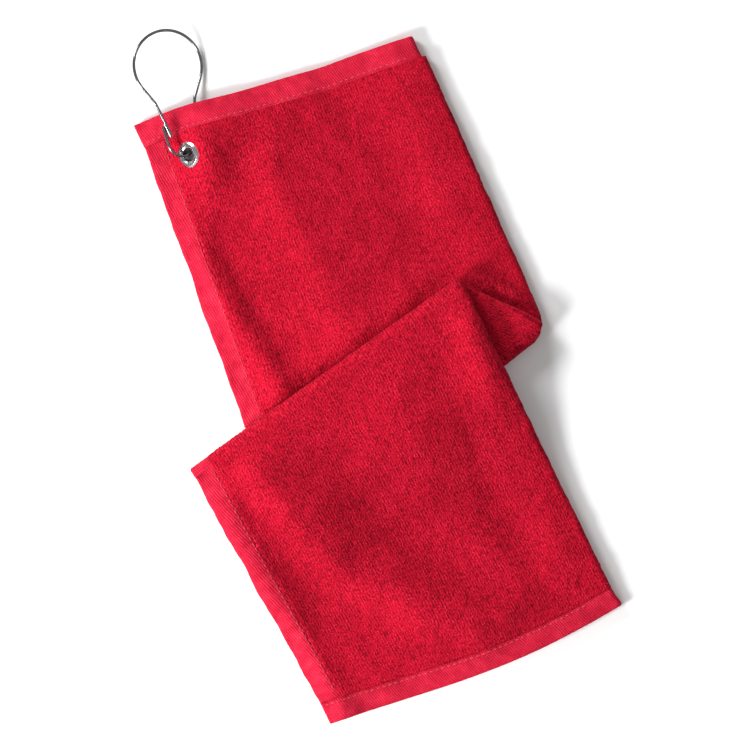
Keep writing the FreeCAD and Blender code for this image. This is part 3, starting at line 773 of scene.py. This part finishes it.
def band_sheet(name, span, stop, shares, soft):
    """A flat hem band, from the left edge as far as stop, or without a stop all round the strip.

    soft says whether its first and last row are rounded off."""
    wrap = stop is None
    left, right = span.rows(shares)
    widths = np.linalg.norm(right - left, axis=1)
    width = float(widths.mean())
    length = np.linalg.norm(np.array(span.last) - np.array(span.first), axis=1).mean()
    if wrap:
        front, turn, back = section_columns(width, 0.0, CELL)
        sections = [strip_section(w, 0.0, (front, turn, back)) for w in widths]
        x = np.array([section[0] for section in sections])
        depth = np.array([section[1] for section in sections])
        distance = np.concatenate(
            [front * (width - 2 * TURN), np.full(len(turn), FAR), (1 - back) * BACK_RUN]
        )
    else:
        distance = spaced(0.0, stop, CELL, True)
        x = np.broadcast_to(distance, (len(shares), len(distance)))
        depth = 0 * x
    wander = edge_wander(shares * length, len(name))
    near_edge = 1 - smooth(0, 10, x)
    x = x + wander[:, None] * near_edge
    px, _, middle = lay_span(span, shares, x, depth)
    rim = np.ones(len(shares))
    if soft[0]:
        rim = rim * rounded((shares - shares[0]) * length)
    if soft[1]:
        rim = rim * rounded((shares[-1] - shares) * length)
    thick = rounded(distance)[None, :] * rim[:, None]
    across = np.broadcast_to(x[:1] + depth[:1] * 2, px.shape)
    along = np.broadcast_to((shares * length)[:, None], px.shape) + WEAVE_START
    relief = 0.12 * noise(across, along, 1.4, 12) + 0.22 * noise(across, along, 5, 13)
    face_side = (HALF_PLY * HEM_PLY + relief) * thick
    back_side = HALF_PLY * HEM_PLY * thick
    keep = np.ones((px.shape[0] - 1, px.shape[1] - 1), bool)
    slots = np.zeros(keep.shape, int)
    weave = np.stack([across, along], axis=-1)
    level = (not (soft[0] or wrap), not (soft[1] or wrap))
    return thick_sheet(name, middle, face_side, back_side, weave, keep, slots, (HEM,), level)


def fold_turn(name, panel, width, up, inner, band, corner=False):
    """The cloth's half turn round a crease, with a narrow lap just inside the panels at both ends.

    inner is the radius of the front layer's middle, with 1 where it grows with depth or -1 where it shrinks.
    band is where it starts and stops across the strip; without a stop it goes round to the layer turned
    under. corner rounds off its right end."""
    radius, grows = inner
    start, stop = band
    whole = stop is None
    if whole:
        front, turn, back = section_columns(width, start, CELL)
        x, depth = strip_section(width, start, (front, turn, back))
        distance = np.concatenate(
            [front * (width - 2 * TURN - start), np.full(len(turn), FAR), (1 - back) * BACK_RUN]
        )
        materials = (TERRY, HEM)
    else:
        x = spaced(start, stop, CELL, True)
        depth = 0 * x
        distance = x - start
        materials = (HEM,)
    angles = np.linspace(0, math.pi, 25)
    reach = radius + grows * depth
    inside = np.clip((x - width + ROUNDED) / ROUNDED, 0, 1) if corner else 0 * x
    y = -np.outer(np.sin(angles), reach * np.sqrt(1 - 0.9 * inside**2))
    z = up - np.outer(np.cos(angles), reach)
    if grows < 0:
        y = -y
    lap = FOLD_LAP * grows
    y = np.vstack([y[:1] + lap, y, y[-1:] + lap])
    z = np.vstack([z[:1], z, z[-1:]])
    angles = np.concatenate([[0.0], angles, [math.pi]])
    px = x - TIP_PULL * np.outer(np.sin(angles), inside**2)
    middle = to_row_frame(panel, px, y, z)
    across = np.broadcast_to(x + 2 * depth, y.shape)
    along = np.broadcast_to((angles * 3.1)[:, None], y.shape) + FOLD_WEAVE_START
    relief = pile_relief(across, along) if whole else 0.1 * noise(across, along, 1.5, 12)
    relief = relief * np.sin(angles)[:, None]
    thick = rounded(distance)[None, :] * np.ones(y.shape)
    thick[[0, -1]] *= 0.94
    thick *= 1 - 0.5 * np.outer(np.sin(angles), inside**2)
    height = HALF_PLY if whole else HALF_PLY * HEM_PLY
    if whole:
        thick[:, -THIN_COLUMNS:] *= HEM_PLY
    keep = np.ones((y.shape[0] - 1, y.shape[1] - 1), bool)
    slots = np.zeros(keep.shape, int)
    if whole:
        slots[:, -HEM_COLUMNS:] = 1
    weave = np.stack([across, along], axis=-1)
    return thick_sheet(name, middle, (height + relief) * thick, height * thick, weave, keep, slots, materials)


# Build the strip ----------------------------------------------------------------------------


upper_cloth = pile_sheet("upper_terry", UPPER_SPAN, punch=True)
upper_side = band_sheet(
    "upper_side_band", UPPER_SPAN, BAND_STOP, spaced(0, 229, CELL, True) / 229, (True, False)
)
top_band = band_sheet(
    "upper_top_band", UPPER_HEM_SPAN, None, spaced(0, 13.2, CELL, True) / 12.5, (True, False)
)
fold_one = fold_turn(
    "fold_one_terry", MIDDLE, MIDDLE_NEAR[1][0] - ROUND_PULL, FOLD_ONE_UP, FOLD_ONE_INNER, (PILE_START, None),
    corner=True,
)
fold_one_side = fold_turn(
    "fold_one_band", MIDDLE, MIDDLE_NEAR[1][0], FOLD_ONE_UP, FOLD_ONE_INNER, (0.0, BAND_STOP)
)
middle_cloth = pile_sheet("middle_terry", MIDDLE_SPAN, soft_first=False)
middle_side = band_sheet(
    "middle_side_band", MIDDLE_SPAN, BAND_STOP, spaced(0, 47, CELL) / 47, (False, False)
)
fold_two = fold_turn(
    "fold_two_terry", LOWER, LOWER_FOLD[1][0], FOLD_TWO_UP, FOLD_TWO_INNER, (PILE_START, None)
)
fold_two_side = fold_turn(
    "fold_two_band", LOWER, LOWER_FOLD[1][0], FOLD_TWO_UP, FOLD_TWO_INNER, (0.0, BAND_STOP)
)
lower_cloth = pile_sheet("lower_terry", LOWER_SPAN, soft_first=False)
lower_side = band_sheet(
    "lower_side_band", LOWER_SPAN, BAND_STOP, spaced(0, 152, CELL) / 152, (False, False)
)
bottom_band = band_sheet(
    "lower_bottom_band", LOWER_HEM_SPAN, None, spaced(-0.7, 12.5, CELL, False, True) / 12.5, (False, True)
)


# Stitches -----------------------------------------------------------------------------------

STITCH_LONG, STITCH_PITCH = 2.6, 3.4
STITCH_RADIUS, STITCH_ARCH, STITCH_SINK = 0.27, 0.42, 0.12
STITCH_SIDES = 6  # the end caps are made for six sides


def stitch_line(name, path):
    """A row of stitches along a path of points in mm, each one a small tube that dips in at both ends."""
    steps = np.linalg.norm(np.diff(path, axis=0), axis=1)
    run = np.concatenate([[0], np.cumsum(steps)])
    count = int((run[-1] - STITCH_LONG) / STITCH_PITCH)
    share = np.linspace(0, 1, 7)
    arch = np.sin(share * math.pi)
    ring = np.linspace(0, 2 * math.pi, STITCH_SIDES + 1)[:-1]
    points, faces = [], []
    for k in range(count):
        along = k * STITCH_PITCH + 0.5 + share * STITCH_LONG
        centre = np.stack([np.interp(along, run, path[:, i]) for i in range(3)], axis=-1)
        centre[:, 2] += STITCH_ARCH * arch - STITCH_SINK
        way = centre[-1] - centre[0]
        way /= np.linalg.norm(way)
        side = np.cross(way, (0, 0, 1))
        side /= np.linalg.norm(side)
        top = np.cross(side, way)
        thick = STITCH_RADIUS * np.sqrt(np.maximum(arch, 0.05))
        tube = (
            centre[:, None, :]
            + thick[:, None, None] * (np.cos(ring)[None, :, None] * side + np.sin(ring)[None, :, None] * top)
        )
        base = k * tube.shape[0] * tube.shape[1]
        points.append(tube.reshape(-1, 3))
        for i in range(len(share) - 1):
            for j in range(STITCH_SIDES):
                a = base + i * STITCH_SIDES + j
                b = base + i * STITCH_SIDES + (j + 1) % STITCH_SIDES
                faces.append((a, b, b + STITCH_SIDES, a + STITCH_SIDES))
        last = base + (len(share) - 1) * STITCH_SIDES
        faces.append(tuple(base + j for j in (3, 2, 1, 0)))
        faces.append(tuple(base + j for j in (5, 4, 3, 0)))
        faces.append(tuple(last + j for j in (0, 1, 2, 3)))
        faces.append(tuple(last + j for j in (0, 3, 4, 5)))
    return make_mesh(name, np.concatenate(points) * MM, np.array(faces), materials=(THREAD,))


def span_path(span, first, last, count=160):
    """Points on a span's front layer, from (share, mm from the left edge) to (share, mm)."""
    shares = np.linspace(first[0], last[0], count)
    x = np.linspace(first[1], last[1], count)[:, None]
    middle = lay_span(span, shares, x, 0 * x)[2]
    return middle[:, 0] + np.array([0, 0, 1.05 * span.up])


top_thread = stitch_line("top_hem_stitches", span_path(UPPER_HEM_SPAN, (0.88, 2.0), (0.88, 157.0)))
side_thread = stitch_line("upper_side_stitches", span_path(UPPER_SPAN, (0.01, SEAM), (0.99, SEAM)))
lower_side_thread = stitch_line("lower_side_stitches", span_path(LOWER_SPAN, (0.02, SEAM), (0.99, SEAM)))
bottom_thread = stitch_line("bottom_hem_stitches", span_path(LOWER_HEM_SPAN, (0.13, 2.0), (0.13, 160.0)))


# The hook's crown, where its two wires meet --------------------------------------------------

WIRE = 0.87  # radius of the sleeve, just over the wire's
BULB_RADIUS = 19.6  # of the hook's loop, to the middle of its wire
CROWN_SIDES = 16


def crown_sleeve():
    """A short bent tube round the split in the hook's crown."""
    angles = np.radians(np.linspace(82, 98, 13))
    ring = np.linspace(0, 2 * math.pi, CROWN_SIDES + 1)[:-1]
    points = []
    for angle in angles:
        centre = hook_point(BULB_RADIUS * math.cos(angle), BULB_UP + BULB_RADIUS * math.sin(angle))
        outward = HOOK_RIGHT * math.cos(angle) + HOOK_UP * math.sin(angle)
        for turn in ring:
            points.append(centre + (outward * math.cos(turn) + HOOK_NORMAL * math.sin(turn)) * WIRE * MM)
    faces = []
    for i in range(len(angles) - 1):
        for j in range(CROWN_SIDES):
            a, b = i * CROWN_SIDES + j, i * CROWN_SIDES + (j + 1) % CROWN_SIDES
            faces.append((a, a + CROWN_SIDES, b + CROWN_SIDES, b))
    return make_mesh("hook_crown", np.array(points), np.array(faces), materials=(CHROME,))


crown = crown_sleeve()


# Put the pieces on the part's bodies ---------------------------------------------------------


def bend_corner(piece):
    """Bakes the piece's transform into its mesh."""
    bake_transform(piece)


for piece in (upper_cloth, upper_side, top_band, top_thread, side_thread):
    bend_corner(piece)
for piece in (fold_one, fold_one_side):
    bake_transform(piece)
for piece in (fold_two, fold_two_side):
    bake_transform(piece)
for piece in (middle_cloth, middle_side):
    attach(piece, "middle_panel")
for piece in (lower_cloth, lower_side, bottom_band, bottom_thread, lower_side_thread):
    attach(piece, "lower_panel")
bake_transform(crown)

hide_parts("upper_cloth", "upper_back_hem", "corner_cloth", "eyelet_cloth")
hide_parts("top_hem")
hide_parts("upper_side_hem")
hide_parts("fold_one_turn")
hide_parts("middle_cloth", "middle_back_hem")
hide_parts("middle_side_hem")
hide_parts("fold_two_turn")
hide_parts("lower_cloth", "lower_under_cloth", "lower_back_hem")
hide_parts("lower_side_hem")
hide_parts("bottom_hem")
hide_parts("top_hem_thread")
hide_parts("upper_side_thread")
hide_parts("bottom_hem_thread")

for node, material in (("grommet_eyelet", NICKEL), ("grommet_washer", NICKEL), ("hook_wire", CHROME),
                       ("hook_spring_arm", CHROME)):
    shown = bpy.data.objects[node]
    for own in shown.material_slots:
        own.material = material


# Floor, light and camera ---------------------------------------------------------------------

FLOOR_REACH, FLOOR_UP = 3.0, -0.0003


def area_light(name, place, size, watts):
    """A round soft lamp that looks at the middle of the part."""
    data = bpy.data.lights.new(name, "AREA")
    data.shape = "DISK"
    data.size = size
    data.energy = watts
    lamp = bpy.data.objects.new(name, data)
    bpy.context.scene.collection.objects.link(lamp)
    lamp.location = place
    lamp.rotation_euler = (-Vector(place)).to_track_quat("-Z", "Y").to_euler()


def make_floor():
    """A plain pale floor."""
    corners = np.array([(-1, -1), (1, -1), (1, 1), (-1, 1)]) * FLOOR_REACH
    corners = np.column_stack([corners, np.full(len(corners), FLOOR_UP)])
    s = Shader("pale_floor")
    tone = s.noise(s.place(), 0.4, 3, 0.5)
    colour = s.ramp(tone, [(0.3, (0.86, 0.86, 0.86)), (0.7, (0.89, 0.89, 0.89))])
    s.connect(colour, s.surface.inputs["Base Color"])
    s.surface.inputs["Roughness"].default_value = 0.9
    floor = make_mesh("floor", corners, np.array([(0, 1, 2, 3)]), materials=(s.material,))


make_floor()
area_light("key", (-1.00, -0.68, 0.66), 0.45, 31.5)
area_light("second_key", (-0.90, 0.85, 0.62), 0.5, 16.5)
area_light("fill", (0.9, 0.2, 1.3), 1.2, 3)


def make_sky():
    """Pale light from above that fades towards the horizon, so that metal shows dark edges."""
    world = bpy.data.worlds.new("studio")
    bpy.context.scene.world = world
    world.use_nodes = True
    tree = world.node_tree
    place = tree.nodes.new("ShaderNodeTexCoord")
    split = tree.nodes.new("ShaderNodeSeparateXYZ")
    ramp = tree.nodes.new("ShaderNodeValToRGB")
    tree.links.new(place.outputs["Generated"], split.inputs["Vector"])
    tree.links.new(split.outputs["Z"], ramp.inputs["Fac"])
    ramp.color_ramp.elements[0].position = 0.15
    ramp.color_ramp.elements[0].color = (0.10, 0.10, 0.10, 1)
    ramp.color_ramp.elements[1].position = 0.85
    ramp.color_ramp.elements[1].color = (1, 1, 1, 1)
    tree.links.new(ramp.outputs["Color"], tree.nodes["Background"].inputs["Color"])
    tree.nodes["Background"].inputs["Strength"].default_value = 0.40


make_sky()
bpy.context.scene.view_settings.view_transform = "Standard"

camera_data = bpy.data.cameras.new("overhead")
camera = bpy.data.objects.new("overhead", camera_data)
bpy.context.scene.collection.objects.link(camera)
camera.location = (-0.0011, 0.0009, 2.302)
camera_data.lens = 200
camera_data.sensor_width = 36
camera_data.dof.use_dof = False
bpy.context.scene.camera = camera
